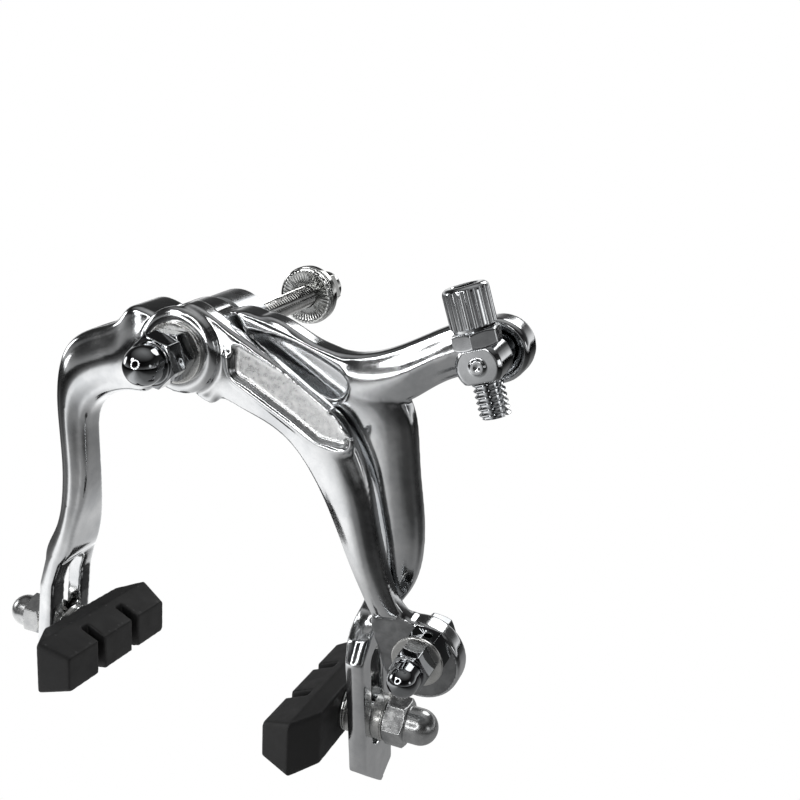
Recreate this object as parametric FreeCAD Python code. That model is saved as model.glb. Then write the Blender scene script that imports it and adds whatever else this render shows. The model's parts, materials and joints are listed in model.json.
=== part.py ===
"""Side-pull caliper brake for a bicycle: two forged arms on one centre bolt."""
import FreeCAD, Part
import math
import os

V = FreeCAD.Vector

# Frame: X to the right of the bicycle seen from in front, Y back into the fork,
# Z up. The origin is on the centre bolt, at the back face of the pivot block
# that seats against the fork crown.

# Centre bolt and the stack of pieces on it
bolt_radius = 3.0
bolt_tail = 52.0
running_clearance = 0.05
block_length = 12.0
block_radius = 9.2
block_chamfer = 0.8
boss_washer_thickness = 0.8
boss_washer_radius = 7.6
arm_boss_depth = 8.5
front_boss_radius = 10.3
front_boss_lip = 2.6
rear_boss_radius = 9.7
front_washer_thickness = 1.2
front_washer_radius = 7.3
jam_nut_thickness = 3.6
jam_nut_turn = -2.0
nut_across_flats = 11.0

# Rear fastening of the bolt, as it is packed behind the fork
toothed_washer_radius = 7.9
toothed_washer_thickness = 1.6
toothed_washer_front = 36.8
tooth_count = 44
tooth_depth = 0.45
seat_ring_radius = 8.3
seat_ring_thickness = 2.4
lock_nut_hex = 7.0
lock_nut_collar = 3.5
lock_nut_collar_radius = 4.9
lock_nut_turn = 10.0
lock_nut_gap = 0.3

# Acorn nuts, on the centre bolt and on both shoe studs
acorn_hex_length = 5.5
acorn_neck_length = 2.8
acorn_dome_radius = 4.6
acorn_thread_depth = 9.0
front_acorn_turn = -17.0
left_acorn_turn = 8.0
right_acorn_turn = 25.5

# Brake shoes
shoe_stud_depth = 8.74
left_stud_height = -88.7
right_stud_height = -90.0
left_plate_reach = 51.2
right_plate_reach = 50.0
left_plate_tilt = 9.0
right_plate_tilt = 3.4
plate_thickness = 4.8
stud_radius = 3.0
dished_washer_radius = 5.9
dished_washer_bore = 4.0
dished_washer_web = 1.1
dish_sphere_radius = 14.0
outer_domed_washer = 1.7
inner_domed_washer = 1.9
stud_flange_radius = 6.0
stud_flange_thickness = 0.8
shoe_length = 49.5
shoe_height = 14.9
shoe_face_length = 44.0
shoe_face_height = 9.8
shoe_face_drop = 1.05
shoe_base_length = 33.0
shoe_base_height = 14.4
shoe_base_thickness = 4.6
shoe_body_thickness = 8.4
shoe_groove_width = 3.0
shoe_groove_depth = 6.0
left_shoe_drop = 1.4
right_shoe_drop = 0.1
left_shoe_pitch = -5.5
right_shoe_pitch = -3.0

# Flat slotted ends of the arms, which are cut slanting along the bottom
plate_front = -0.8
plate_back = 17.2
left_plate_bottom_front = -98.2
right_plate_bottom_front = -101.6
plate_bottom_low = -111.0
plate_low_depth = 9.7
plate_bottom_back = -108.2

# Slots in the ends of the arms
slot_width = 7.2
left_slot_above_stud = 23.0
right_slot_above_stud = 19.5
left_slot_below_stud = 9.0
right_slot_below_stud = 8.2

# Forged arms
arm_relief_clearance = 0.5
web_relief_radius = 14.0
lug_centre_x = 61.4
lug_centre_z = -68.2
lug_radius = 10.0
lug_front = 3.8
lug_back = 10.0
lug_bevel = 0.9
spot_face_radius = 6.6
pocket_depth = 1.7
dish_depth = 1.9
end_boss_x = 72.8
end_boss_z = 7.2
end_boss_radius = 6.9
end_boss_front = 8.0
end_boss_back = 15.4
end_boss_recess_radius = 5.4
end_boss_recess_floor = 4.1
end_boss_recess = 3.0

# Cable anchor
anchor_x = 63.2
anchor_z = -63.7
anchor_bolt_radius = 2.5
anchor_head_length = 6.1
anchor_head_flats = 10.5
anchor_head_turn = -4.0
anchor_disc_radius = 6.2
anchor_disc_thickness = 0.9
anchor_nut_hex = 5.2
anchor_nut_flats = 8.5
anchor_nut_turn = 5.0
anchor_nut_neck = 3.4
anchor_dome_radius = 3.6
anchor_thread_depth = 9.5
anchor_rear_nut_length = 3.0
anchor_rear_nut_flats = 8.0
cable_hole_radius = 1.0

# Cable adjuster
adjuster_tilt = 18.2
adjuster_depth = -0.8
swivel_radius = 4.8
swivel_front = -4.6
swivel_back = 4.6
swivel_flat = 3.5
swivel_lower_flat = 3.3
swivel_collar_radius = 3.7
swivel_shank_radius = 2.6
swivel_button_radius = 1.7
swivel_button_height = 0.5
swivel_washer_radius = 5.0
swivel_washer_thickness = 0.8
rivet_radius = 3.6
rivet_height = 1.4
barrel_radius = 3.2
barrel_bore = 1.2
barrel_tail = 11.0
socket_radius = 2.6
socket_depth = 7.0
head_radius = 4.7
head_length = 8.2
head_round = 1.2
head_flutes = 22
flute_radius = 0.5
neck_radius = 4.2
neck_length = 0.7
adjuster_nut_flats = 9.0
adjuster_nut_length = 3.4
adjuster_nut_turn = 35.0

# Return spring, a wire through the block that presses on a peg behind each arm
spring_radius = 1.0
spring_bend = 4.0
spring_hole_clearance = 0.05
spring_y = -6.0
spring_z = -5.3
spring_run = 12.0
spring_knee_x = 27.0
left_knee_z = -8.5
right_knee_z = -9.5
left_wire_depth = 12.8
right_wire_depth = 16.2
left_spring_end = -17.0
right_spring_end = -22.5
left_peg_x = -36.0
left_peg_z = -13.5
left_peg_radius = 1.4
left_peg_root = 7.0
left_peg_tip = 15.2
right_peg_x = 37.2
right_peg_z = -19.0
right_peg_radius = 1.6
right_peg_root = 11.0
right_peg_tip = 18.5
peg_gap = 0.3

# Places along the bolt worked out from the stack
block_front = -block_length
rear_boss_back = block_front - boss_washer_thickness
rear_boss_front = rear_boss_back - arm_boss_depth
front_boss_back = rear_boss_front - boss_washer_thickness
front_face = front_boss_back - arm_boss_depth
bore_radius = bolt_radius + running_clearance


def at(x, depth, z):
    """Point at a depth behind the front face of the front arm's boss."""
    return V(x, front_face + depth, z)


def outline(points):
    """Closed wire; an item that is a pair is an arc through its first point."""
    edges = []
    pen = points[0]
    for item in points[1:] + [points[0]]:
        if isinstance(item, tuple):
            edges.append(Part.Arc(pen, item[0], item[1]).toShape())
            pen = item[1]
        elif item.distanceToPoint(pen) > 1e-6:
            edges.append(Part.makeLine(pen, item))
            pen = item
    return Part.Wire(edges)


def lathe(points, origin=V(0, 0, 0), direction=V(0, 0, 1)):
    """Solid turned about its axis from a profile of radius in X and length in Z."""
    solid = Part.Face(outline(points)).revolve(V(0, 0, 0), V(0, 0, 1), 360)
    return placed(solid, origin, direction)


def placed(shape, origin, direction, turn=0.0):
    """Copy of a shape made along +Z, laid along a direction from an origin."""
    copy = shape.copy()
    spin = FreeCAD.Rotation(V(0, 0, 1), turn)
    lay = FreeCAD.Rotation(V(0, 0, 1), direction)
    copy.Placement = FreeCAD.Placement(origin, lay.multiply(spin))
    return copy


def rod(radius, length, origin=V(0, 0, 0), direction=V(0, 0, 1)):
    return Part.makeCylinder(radius, length, origin, direction)


def hexagon(flats, length):
    """Hexagonal prism along +Z with its corners turned off at both ends."""
    radius = flats / math.sqrt(3.0)
    corners = [V(radius * math.cos(math.radians(60 * i)), radius * math.sin(math.radians(60 * i)), 0)
               for i in range(6)]
    prism = Part.Face(outline(corners)).extrude(V(0, 0, length))
    drop = (radius - flats / 2) * 0.6
    turning = lathe([V(0, 0, 0), V(flats / 2, 0, 0), V(radius, 0, drop), V(radius, 0, length - drop),
                     V(flats / 2, 0, length), V(0, 0, length)])
    return prism.common(turning)


def hexagon_nut(flats, length, bore):
    return hexagon(flats, length).cut(rod(bore, length))


def acorn(flats, hex_length, neck, dome_radius, bore, depth):
    """Domed nut along +Z with its open end at the start."""
    top = hex_length + neck
    crown = lathe([V(0, 0, hex_length), V(dome_radius, 0, hex_length), V(dome_radius, 0, top),
                   (V(dome_radius * math.sqrt(0.5), 0, top + dome_radius * math.sqrt(0.5)),
                    V(0, 0, top + dome_radius))])
    nut = hexagon(flats, hex_length).fuse(crown)
    return nut.cut(rod(bore, depth)).removeSplitter()


def ring(radius, bore, thickness, origin, direction, bevel=0.15):
    """Flat washer with its outer edges broken."""
    return lathe([V(bore, 0, 0), V(radius - bevel, 0, 0), V(radius, 0, bevel),
                  V(radius, 0, thickness - bevel), V(radius - bevel, 0, thickness),
                  V(bore, 0, thickness)], origin, direction)


def smooth_face(points):
    """Face inside a closed smooth curve through a few points."""
    curve = Part.BSplineCurve()
    curve.interpolate(points, PeriodicFlag=True)
    return Part.Face(Part.Wire([curve.toShape()]))


def section(outer, inner, front, back, crown, front_round, back_round, ridge=0.5):
    """Closed section across an arm: crowned front, square back, rounded edges."""
    across = V(inner[0] - outer[0], 0, inner[1] - outer[1])
    width = across.Length
    across.normalize()

    def spot(s, depth):
        return at(outer[0], depth, outer[1]) + across * s

    shoulder = front + crown
    f = front_round
    b = back_round
    m = 1 - math.sqrt(0.5)
    crest = Part.BSplineCurve()
    crest.interpolate([spot(f, shoulder), spot(ridge * width, front), spot(width - f, shoulder)])
    edges = [
        crest.toShape(),
        Part.Arc(spot(width - f, shoulder), spot(width - m * f, shoulder + m * f),
                 spot(width, shoulder + f)).toShape(),
        Part.makeLine(spot(width, shoulder + f), spot(width, back - b)),
        Part.Arc(spot(width, back - b), spot(width - m * b, back - m * b),
                 spot(width - b, back)).toShape(),
        Part.makeLine(spot(width - b, back), spot(b, back)),
        Part.Arc(spot(b, back), spot(m * b, back - m * b), spot(0, back - b)).toShape(),
        Part.makeLine(spot(0, back - b), spot(0, shoulder + f)),
        Part.Arc(spot(0, shoulder + f), spot(m * f, shoulder + m * f), spot(f, shoulder)).toShape(),
    ]
    return Part.Wire(edges)


def limb(stations):
    """Solid lofted through the sections of one limb of an arm."""
    return Part.makeLoft([section(*s) for s in stations], True, False)


def flat_limb(stations):
    """Solid with straight sides between its sections."""
    return Part.makeLoft([section(*s) for s in stations], True, True)


def plate_edge(side, reach, tilt, stud_height, height, thickness=0.0):
    """Place on the plate's outer face, or below it by a thickness, at a height."""
    lean = math.tan(math.radians(tilt))
    return (side * (reach + (stud_height - height) * lean - thickness), height)


def plate_stations(side, reach, tilt, stud_height, heights):
    """Sections down the flat slotted end of an arm."""
    rows = []
    for height in heights:
        outer = plate_edge(side, reach, tilt, stud_height, height)
        inner = plate_edge(side, reach, tilt, stud_height, height, plate_thickness)
        rows.append((outer, inner, plate_front, plate_back, 0.3, 1.0, 0.7))
    return rows


def finish_plate(arm, side, stud_height, bottom_front, above_stud, below_stud):
    """Cuts the slanted bottom and the slot of an arm's plate."""
    far = 90.0
    below = [at(0, plate_front - 5, bottom_front + 3), at(0, plate_front, bottom_front),
             at(0, plate_low_depth, plate_bottom_low), at(0, plate_back, plate_bottom_back),
             at(0, plate_back + 5, plate_bottom_back + 2), at(0, plate_back + 5, plate_bottom_low - 20),
             at(0, plate_front - 5, plate_bottom_low - 20)]
    trim = Part.Face(outline(below)).extrude(V(side * far, 0, 0))
    half = slot_width / 2
    top = stud_height + above_stud - half
    bottom = stud_height - below_stud + half
    d = shoe_stud_depth
    slot = outline([at(0, d - half, bottom), (at(0, d, bottom - half), at(0, d + half, bottom)),
                    at(0, d + half, top), (at(0, d, top + half), at(0, d - half, top))])
    slot_tool = Part.Face(slot).extrude(V(side * far, 0, 0))
    slot_tool.translate(V(side * 25.0, 0, 0))
    trim.translate(V(side * 25.0, 0, 0))
    return arm.cut(trim).cut(slot_tool)


def make_front_arm():
    """Front arm: left leg with its plate, boss, pocketed right arm and anchor lug."""
    boss = lathe([V(0, 0, 0), V(8.9, 0, 0), V(front_boss_radius, 0, 0.9),
                  V(front_boss_radius, 0, front_boss_lip), V(9.6, 0, front_boss_lip + 1.6),
                  V(9.6, 0, arm_boss_depth), V(0, 0, arm_boss_depth)], at(0, 0, 0), V(0, 1, 0))
    leg_stations = [
        ((2, 8.7), (2, -8.7), 1.6, 8.3, 0.9, 1.2, 0.6),
        ((-10.2, 8.1), (-9.2, -9.7), 1.4, 16.6, 1.2, 1.8, 0.8),
        ((-18.2, 5.3), (-15.4, -12.9), 1.0, 15.2, 1.6, 2.4, 0.8),
        ((-27, 1.4), (-23.4, -14.9), 0.6, 12.4, 1.8, 2.6, 0.8),
        ((-34.4, -3.2), (-28, -18.2), 0.3, 10.6, 1.8, 2.6, 0.8),
        ((-38.2, -12.0), (-30, -22.0), 0.2, 9.6, 1.8, 2.4, 0.8),
        ((-39.0, -23.5), (-30.6, -28.5), 0.1, 9.2, 1.7, 2.0, 0.8),
        ((-38.8, -34.5), (-31.0, -37.5), 0.0, 9.4, 1.5, 1.8, 0.8),
        ((-39.4, -44.5), (-33.0, -46.8), -0.2, 11.4, 1.2, 1.5, 0.8),
        ((-42.0, -54.2), (-36.4, -56.2), -0.5, 14.2, 0.9, 1.2, 0.8),
        ((-45.8, -63.6), (-40.8, -65.0), -0.7, 16.2, 0.5, 1.0, 0.7),
    ]
    left = limb(leg_stations)
    plate = flat_limb(leg_stations[-1:]
                      + plate_stations(-1, left_plate_reach, left_plate_tilt, left_stud_height, (-72, -113)))
    right = limb([
        ((0, 8.6), (0, -8.6), 2.2, 7.8, 0.6, 1.0, 0.6),
        ((13.0, 5.7), (9.6, -10.9), 1.9, 7.3, 0.7, 1.2, 0.6),
        ((20.4, 1.8), (14.4, -12.3), 1.7, 7.1, 0.8, 1.4, 0.6),
        ((28.0, -2.9), (21.3, -14.8), 1.6, 6.8, 0.8, 1.4, 0.6),
        ((35.2, -7.5), (27.6, -18.7), 1.5, 6.5, 0.9, 1.4, 0.6),
        ((40.3, -11.4), (32.1, -23.9), 1.4, 6.4, 1.0, 1.4, 0.6),
        ((44.4, -18.0), (36.1, -30.8), 1.2, 6.5, 1.4, 1.4, 0.6),
        ((47.4, -25.9), (39.4, -37.8), 1.0, 6.7, 1.7, 1.2, 0.6),
        ((49.2, -34.4), (42.0, -43.8), 0.9, 6.9, 1.8, 1.1, 0.6),
        ((50.9, -42.0), (44.4, -49.2), 1.0, 7.1, 1.8, 1.0, 0.6),
        ((53.0, -49.2), (47.0, -55.0), 1.6, 7.2, 1.6, 1.0, 0.6),
        ((56.6, -56.0), (50.0, -61.6), 2.8, 7.5, 1.2, 1.0, 0.6),
        ((62.6, -60.6), (54.6, -67.6), 4.0, 8.4, 0.6, 1.0, 0.8),
    ])
    lug = lathe([V(0, 0, 0), V(lug_radius - lug_bevel, 0, 0),
                 (V(lug_radius - lug_bevel * 0.3, 0, lug_bevel * 0.3), V(lug_radius, 0, lug_bevel)),
                 V(lug_radius, 0, lug_back - lug_front - lug_bevel),
                 (V(lug_radius - lug_bevel * 0.3, 0, lug_back - lug_front - lug_bevel * 0.3),
                  V(lug_radius - lug_bevel, 0, lug_back - lug_front)),
                 V(0, 0, lug_back - lug_front)],
                at(lug_centre_x, lug_front, lug_centre_z), V(0, 1, 0))
    peg = rod(left_peg_radius, left_peg_tip - left_peg_root, at(left_peg_x, left_peg_root, left_peg_z),
              V(0, 1, 0))
    arm = boss.fuse([left, plate, right, lug, peg])
    relief = rod(rear_boss_radius + arm_relief_clearance, 14.0, at(0, arm_boss_depth, 0), V(0, 1, 0))
    spot_face = rod(spot_face_radius, 15.0, at(anchor_x, lug_front - 15.0, anchor_z), V(0, 1, 0))
    arm = arm.cut(relief)
    arm = arm.cut(spot_face)
    pocket_points = [at(14.0, 0, 3.2), at(27.0, 0, -2.6), at(38.4, 0, -10.6), at(42.8, 0, -15.4),
                     at(41.6, 0, -17.0), at(35.6, 0, -16.6), at(28.2, 0, -12.0), at(17.0, 0, -5.8),
                     at(13.2, 0, -4.2)]
    floor = 1.6 + pocket_depth
    lip_wire = Part.Face(Part.makePolygon(pocket_points + [pocket_points[0]]))
    rim = rounded(lip_wire.extrude(V(0, floor, 0)), 1.0)
    arm = arm.cut(rim)
    arm = finish_plate(arm, -1, left_stud_height, left_plate_bottom_front, left_slot_above_stud,
                       left_slot_below_stud)
    arm = arm.cut(rod(bore_radius, 40, at(0, -5, 0), V(0, 1, 0)))
    arm = arm.cut(rod(anchor_bolt_radius + running_clearance, 30, at(anchor_x, -5, anchor_z), V(0, 1, 0)))
    return arm


def rounded(prism, radius):
    """Prism along Y with its upright edges rounded."""
    upright = [e for e in prism.Edges
               if abs(e.Vertexes[0].X - e.Vertexes[-1].X) < 1e-6 and abs(e.Vertexes[0].Z - e.Vertexes[-1].Z) < 1e-6]
    return prism.makeFillet(radius, upright)


def make_rear_arm():
    """Rear arm: boss, dished web, branch to the adjuster, right leg with its plate."""
    boss = lathe([V(0, 0, 0), V(rear_boss_radius, 0, 0), V(rear_boss_radius, 0, arm_boss_depth - 0.6),
                  V(rear_boss_radius - 0.6, 0, arm_boss_depth), V(0, 0, arm_boss_depth)],
                 V(0, rear_boss_front, 0), V(0, 1, 0))
    leg_stations = [
        ((0, 9.3), (0, -9.3), 9.5, 17.6, 0.4, 0.8, 0.6),
        ((11.0, 9.0), (9.2, -10.6), 7.7, 16.4, 0.3, 0.9, 0.7),
        ((22.0, 6.6), (18.4, -12.4), 7.6, 15.0, 0.3, 1.0, 0.7),
        ((33.5, 3.0), (27.2, -15.6), 7.6, 14.2, 0.4, 1.2, 0.7),
        ((45.0, -0.5), (34.0, -19.6), 7.6, 13.8, 0.8, 1.4, 0.7, 0.4),
        ((53.2, -7.0), (38.6, -24.8), 7.8, 13.6, 1.2, 1.4, 0.7, 0.3),
        ((55.6, -15.6), (42.0, -30.4), 7.9, 13.5, 1.5, 1.4, 0.7, 0.3),
        ((56.6, -24.6), (44.2, -36.4), 8.0, 13.4, 1.6, 1.4, 0.7, 0.3),
        ((57.9, -33.4), (45.6, -42.4), 8.1, 13.3, 1.6, 1.3, 0.7, 0.32),
        ((58.4, -42.2), (46.0, -48.4), 8.2, 13.3, 1.5, 1.2, 0.7, 0.36),
        ((57.2, -50.4), (45.4, -54.6), 8.2, 13.8, 1.3, 1.1, 0.7, 0.4),
        ((53.6, -58.0), (43.8, -60.8), 7.9, 15.0, 1.0, 1.0, 0.7, 0.4),
        ((49.2, -65.0), (43.0, -66.8), 2.2, 16.6, 0.7, 1.0, 0.7),
    ]
    leg = limb(leg_stations)
    plate = flat_limb(leg_stations[-1:]
                      + plate_stations(1, right_plate_reach, right_plate_tilt, right_stud_height, (-71, -113)))
    branch = limb([
        ((16, 8.0), (18, -8), 8.2, 14.6, 0.3, 0.9, 0.7),
        ((30, 4.2), (36, -13), 7.8, 14.0, 0.6, 1.2, 0.7),
        ((41.5, 2.3), (48.5, -9.5), 7.6, 13.7, 1.0, 1.6, 0.8),
        ((49.4, 4.6), (55.0, -6.0), 7.7, 13.6, 1.4, 1.8, 0.8),
        ((57.0, 8.5), (60.6, -2.0), 8.0, 13.8, 1.6, 1.8, 0.8),
        ((64.5, 12.0), (67.0, 0.8), 8.3, 14.4, 1.4, 1.6, 0.8),
        ((71.5, 13.2), (72.5, 1.2), 8.6, 14.8, 1.0, 1.2, 0.8),
    ])
    depth = end_boss_back - end_boss_front
    end_boss = lathe([V(0, 0, 0), V(end_boss_radius - 1.2, 0, 0),
                      (V(end_boss_radius - 0.35, 0, 0.35), V(end_boss_radius, 0, 1.2)),
                      V(end_boss_radius, 0, depth - 1.2),
                      (V(end_boss_radius - 0.35, 0, depth - 0.35), V(end_boss_radius - 1.2, 0, depth)),
                      V(0, 0, depth)], at(end_boss_x, end_boss_front, end_boss_z), V(0, 1, 0))
    peg = rod(right_peg_radius, right_peg_tip - right_peg_root,
              at(right_peg_x, right_peg_root, right_peg_z), V(0, 1, 0))
    arm = leg.fuse([plate, branch, end_boss, peg])
    step = rod(web_relief_radius, 20.0, at(0, arm_boss_depth + boss_washer_thickness - 20.0, 0), V(0, 1, 0))
    arm = arm.cut(step)
    arm = arm.fuse(boss)
    dish_points = [at(15.5, 0, 5.2), at(25.5, 0, 3.6), at(35.0, 0, -0.2), at(40.0, 0, -4.6),
                   at(38.0, 0, -8.6), at(30.0, 0, -7.6), at(21.0, 0, -3.4), at(15.5, 0, 1.4)]
    dish = smooth_face(dish_points).extrude(V(0, 7.6 + dish_depth, 0))
    arm = arm.cut(dish)
    recess = lathe([V(0, 0, -5), V(end_boss_recess_radius, 0, -5), V(end_boss_recess_radius, 0, 0.3),
                    (V(end_boss_recess_floor + 0.9, 0, end_boss_recess - 0.7),
                     V(end_boss_recess_floor, 0, end_boss_recess)),
                    V(0, 0, end_boss_recess)], at(end_boss_x, end_boss_front, end_boss_z), V(0, 1, 0))
    arm = arm.cut(recess)
    arm = finish_plate(arm, 1, right_stud_height, right_plate_bottom_front, right_slot_above_stud,
                       right_slot_below_stud)
    arm = arm.cut(rod(bore_radius, 40, at(0, 0, 0), V(0, 1, 0)))
    arm = arm.cut(rod(swivel_shank_radius + running_clearance, 40, at(end_boss_x, 0, end_boss_z), V(0, 1, 0)))
    return arm


def shoe_point(side, reach, stud_height, distance):
    """Place on a shoe's stud axis, at a distance out from the plate's outer face."""
    return at(side * (reach + distance), shoe_stud_depth, stud_height)


def make_shoe(side, reach, stud_height, tilt, pitch, drop, turn):
    """Rubber shoe, its stud and nut, and the two pairs of dished washers."""
    outward = V(side, 0, 0)
    lean = math.radians(tilt)
    normal = V(side * math.cos(lean), 0, math.sin(lean))
    inner_face = -plate_thickness
    inner_dish = inner_face - dished_washer_web
    flange = inner_dish - inner_domed_washer
    base = flange - stud_flange_thickness
    nut_seat = dished_washer_web + outer_domed_washer
    bore = stud_radius + running_clearance

    def spot(distance):
        return shoe_point(side, reach, stud_height, distance)

    outer_ball = Part.makeSphere(dish_sphere_radius, spot(dished_washer_web + dish_sphere_radius))
    inner_ball = Part.makeSphere(dish_sphere_radius, spot(inner_dish - dish_sphere_radius))
    dish_height = 3.2
    outer_dish = ring(dished_washer_radius, dished_washer_bore, dish_height, spot(0), normal).cut(outer_ball)
    inner_dished = ring(dished_washer_radius, dished_washer_bore, dish_height, spot(inner_face), -normal)
    inner_dished = inner_dished.cut(inner_ball)
    outer_dome = ring(dished_washer_radius, bore, outer_domed_washer, spot(dished_washer_web), outward)
    inner_dome = ring(dished_washer_radius, bore, inner_domed_washer, spot(inner_dish), -outward)
    washers = [outer_dish, outer_dome.common(outer_ball), inner_dished, inner_dome.common(inner_ball)]

    tip = nut_seat + acorn_thread_depth - 0.3
    root = base - 3.2
    stud = lathe([V(0, 0, root), V(4.6, 0, root), V(4.6, 0, base), V(stud_flange_radius, 0, base),
                  V(stud_flange_radius, 0, flange), V(stud_radius, 0, flange), V(stud_radius, 0, tip - 0.6),
                  V(stud_radius - 0.6, 0, tip), V(0, 0, tip)], spot(0), outward)
    nut = placed(acorn(nut_across_flats, acorn_hex_length, acorn_neck_length, acorn_dome_radius,
                       stud_radius, acorn_thread_depth), spot(nut_seat), outward, turn)

    def band(distance, length, height, corner, lower=0.0):
        l = length / 2
        h = height / 2
        c = corner
        rows = [(-l + c, -h), (l - c, -h), (l, -h + c), (l, h - c), (l - c, h), (-l + c, h), (-l, h - c),
                (-l, -h + c)]
        points = [spot(distance) + V(0, a, b - drop - lower) for a, b in rows]
        return Part.makePolygon(points + [points[0]])

    widest = base - shoe_base_thickness
    face = widest - shoe_body_thickness
    hips = Part.makeLoft([band(base, shoe_base_length, shoe_base_height, 0.8),
                          band(widest, shoe_length, shoe_height, 0.8)], True, True)
    block = Part.makeLoft([band(widest, shoe_length, shoe_height, 0.8),
                           band(face, shoe_face_length, shoe_face_height, 0.8, shoe_face_drop)], True, True)
    rubber = hips.fuse(block).removeSplitter()
    land = (shoe_face_length - 2 * shoe_groove_width) / 3
    for way in (-1, 1):
        middle = way * (land + shoe_groove_width) / 2
        groove = Part.makeBox(shoe_groove_depth + 5, shoe_groove_width, 30)
        groove.translate(V(-5 if side > 0 else -shoe_groove_depth, middle - shoe_groove_width / 2, -15))
        groove.translate(spot(face))
        rubber = rubber.cut(groove)
    rubber.rotate(spot(0) - V(0, 0, drop), V(1, 0, 0), pitch)
    return rubber.cut(stud), stud, washers, nut


def bent_wire(points, bend):
    """Path of straight runs joined by arcs of one radius."""
    edges = []
    pen = points[0]
    for before, corner, after in zip(points, points[1:], points[2:]):
        a = before - corner
        b = after - corner
        a.normalize()
        b.normalize()
        half = a.getAngle(b) / 2
        back = bend / math.tan(half)
        start = corner + a * back
        end = corner + b * back
        middle = a + b
        middle.normalize()
        crown = corner + middle * (bend / math.sin(half) - bend)
        edges.append(Part.makeLine(pen, start))
        edges.append(Part.Arc(start, crown, end).toShape())
        pen = end
    edges.append(Part.makeLine(pen, points[-1]))
    return Part.Wire(edges)


def make_spring():
    """Return spring: one wire, straight through the block, down behind each arm."""
    right_touch = right_peg_x - right_peg_radius - spring_radius - peg_gap
    left_touch = left_peg_x + left_peg_radius + spring_radius + peg_gap
    rear_y = front_face + right_wire_depth
    front_y = front_face + left_wire_depth
    rise = 3.0
    half = [V(spring_run, spring_y, spring_z), V(spring_knee_x, (rear_y + spring_y) / 2, right_knee_z),
            V(right_touch, rear_y, right_peg_z + rise), V(right_touch, rear_y, right_spring_end)]
    other = [V(-spring_run, spring_y, spring_z), V(-spring_knee_x, (front_y + spring_y) / 2, left_knee_z),
             V(left_touch, front_y, left_peg_z + rise), V(left_touch, front_y, left_spring_end)]
    path = bent_wire(other[::-1] + half, spring_bend)
    start = path.Edges[0]
    heading = start.tangentAt(start.FirstParameter)
    profile = Part.Wire([Part.makeCircle(spring_radius, other[-1], heading)])
    return path.makePipeShell([profile], True, False)


def make_block():
    """Pivot block behind the arms, with the hole that carries the spring."""
    c = block_chamfer
    block = lathe([V(bolt_radius, 0, -block_length), V(block_radius - c, 0, -block_length),
                   V(block_radius, 0, -block_length + c), V(block_radius, 0, -c),
                   V(block_radius - c, 0, 0), V(bolt_radius, 0, 0)], V(0, 0, 0), V(0, 1, 0))
    hole = rod(spring_radius + spring_hole_clearance, 4 * block_radius,
               V(-2 * block_radius, spring_y, spring_z), V(1, 0, 0))
    return block.cut(hole)


def make_toothed_washer():
    """Washer with radial teeth pressed in its front face."""
    washer = ring(toothed_washer_radius, bolt_radius + 0.3, toothed_washer_thickness,
                  V(0, toothed_washer_front, 0), V(0, 1, 0), 0.25)
    pitch = 2 * math.pi / tooth_count
    inner = bolt_radius + 1.2
    outer = toothed_washer_radius - 1.0
    cuts = []
    for i in range(tooth_count):
        half = pitch / 2 * 0.8
        y = toothed_washer_front
        corners = [V(inner, y, 0), V(outer, y, outer * half), V(outer, y, -outer * half)]
        deep = V(outer, y + tooth_depth, 0)
        faces = [Part.Face(Part.makePolygon(corners + [corners[0]]))]
        for a, b in ((0, 1), (1, 2), (2, 0)):
            faces.append(Part.Face(Part.makePolygon([corners[a], corners[b], deep, corners[a]])))
        wedge = Part.makeSolid(Part.makeShell(faces))
        wedge.rotate(V(0, 0, 0), V(0, 1, 0), math.degrees(i * pitch))
        cuts.append(wedge)
    return washer.cut(cuts)


def make_lock_nut(front):
    """Hexagonal nut behind the fork, with a round collar at its back."""
    nut = hexagon(nut_across_flats, lock_nut_hex)
    r = lock_nut_collar_radius
    end = lock_nut_hex + lock_nut_collar
    collar = lathe([V(0, 0, 0), V(r, 0, 0), V(r, 0, end - 1.0),
                    (V(r - 0.3, 0, end - 0.3), V(r - 1.0, 0, end)), V(0, 0, end)])
    nut = nut.fuse(collar).cut(rod(bolt_radius, end))
    return placed(nut, V(0, front, 0), V(0, 1, 0), lock_nut_turn)


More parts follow.
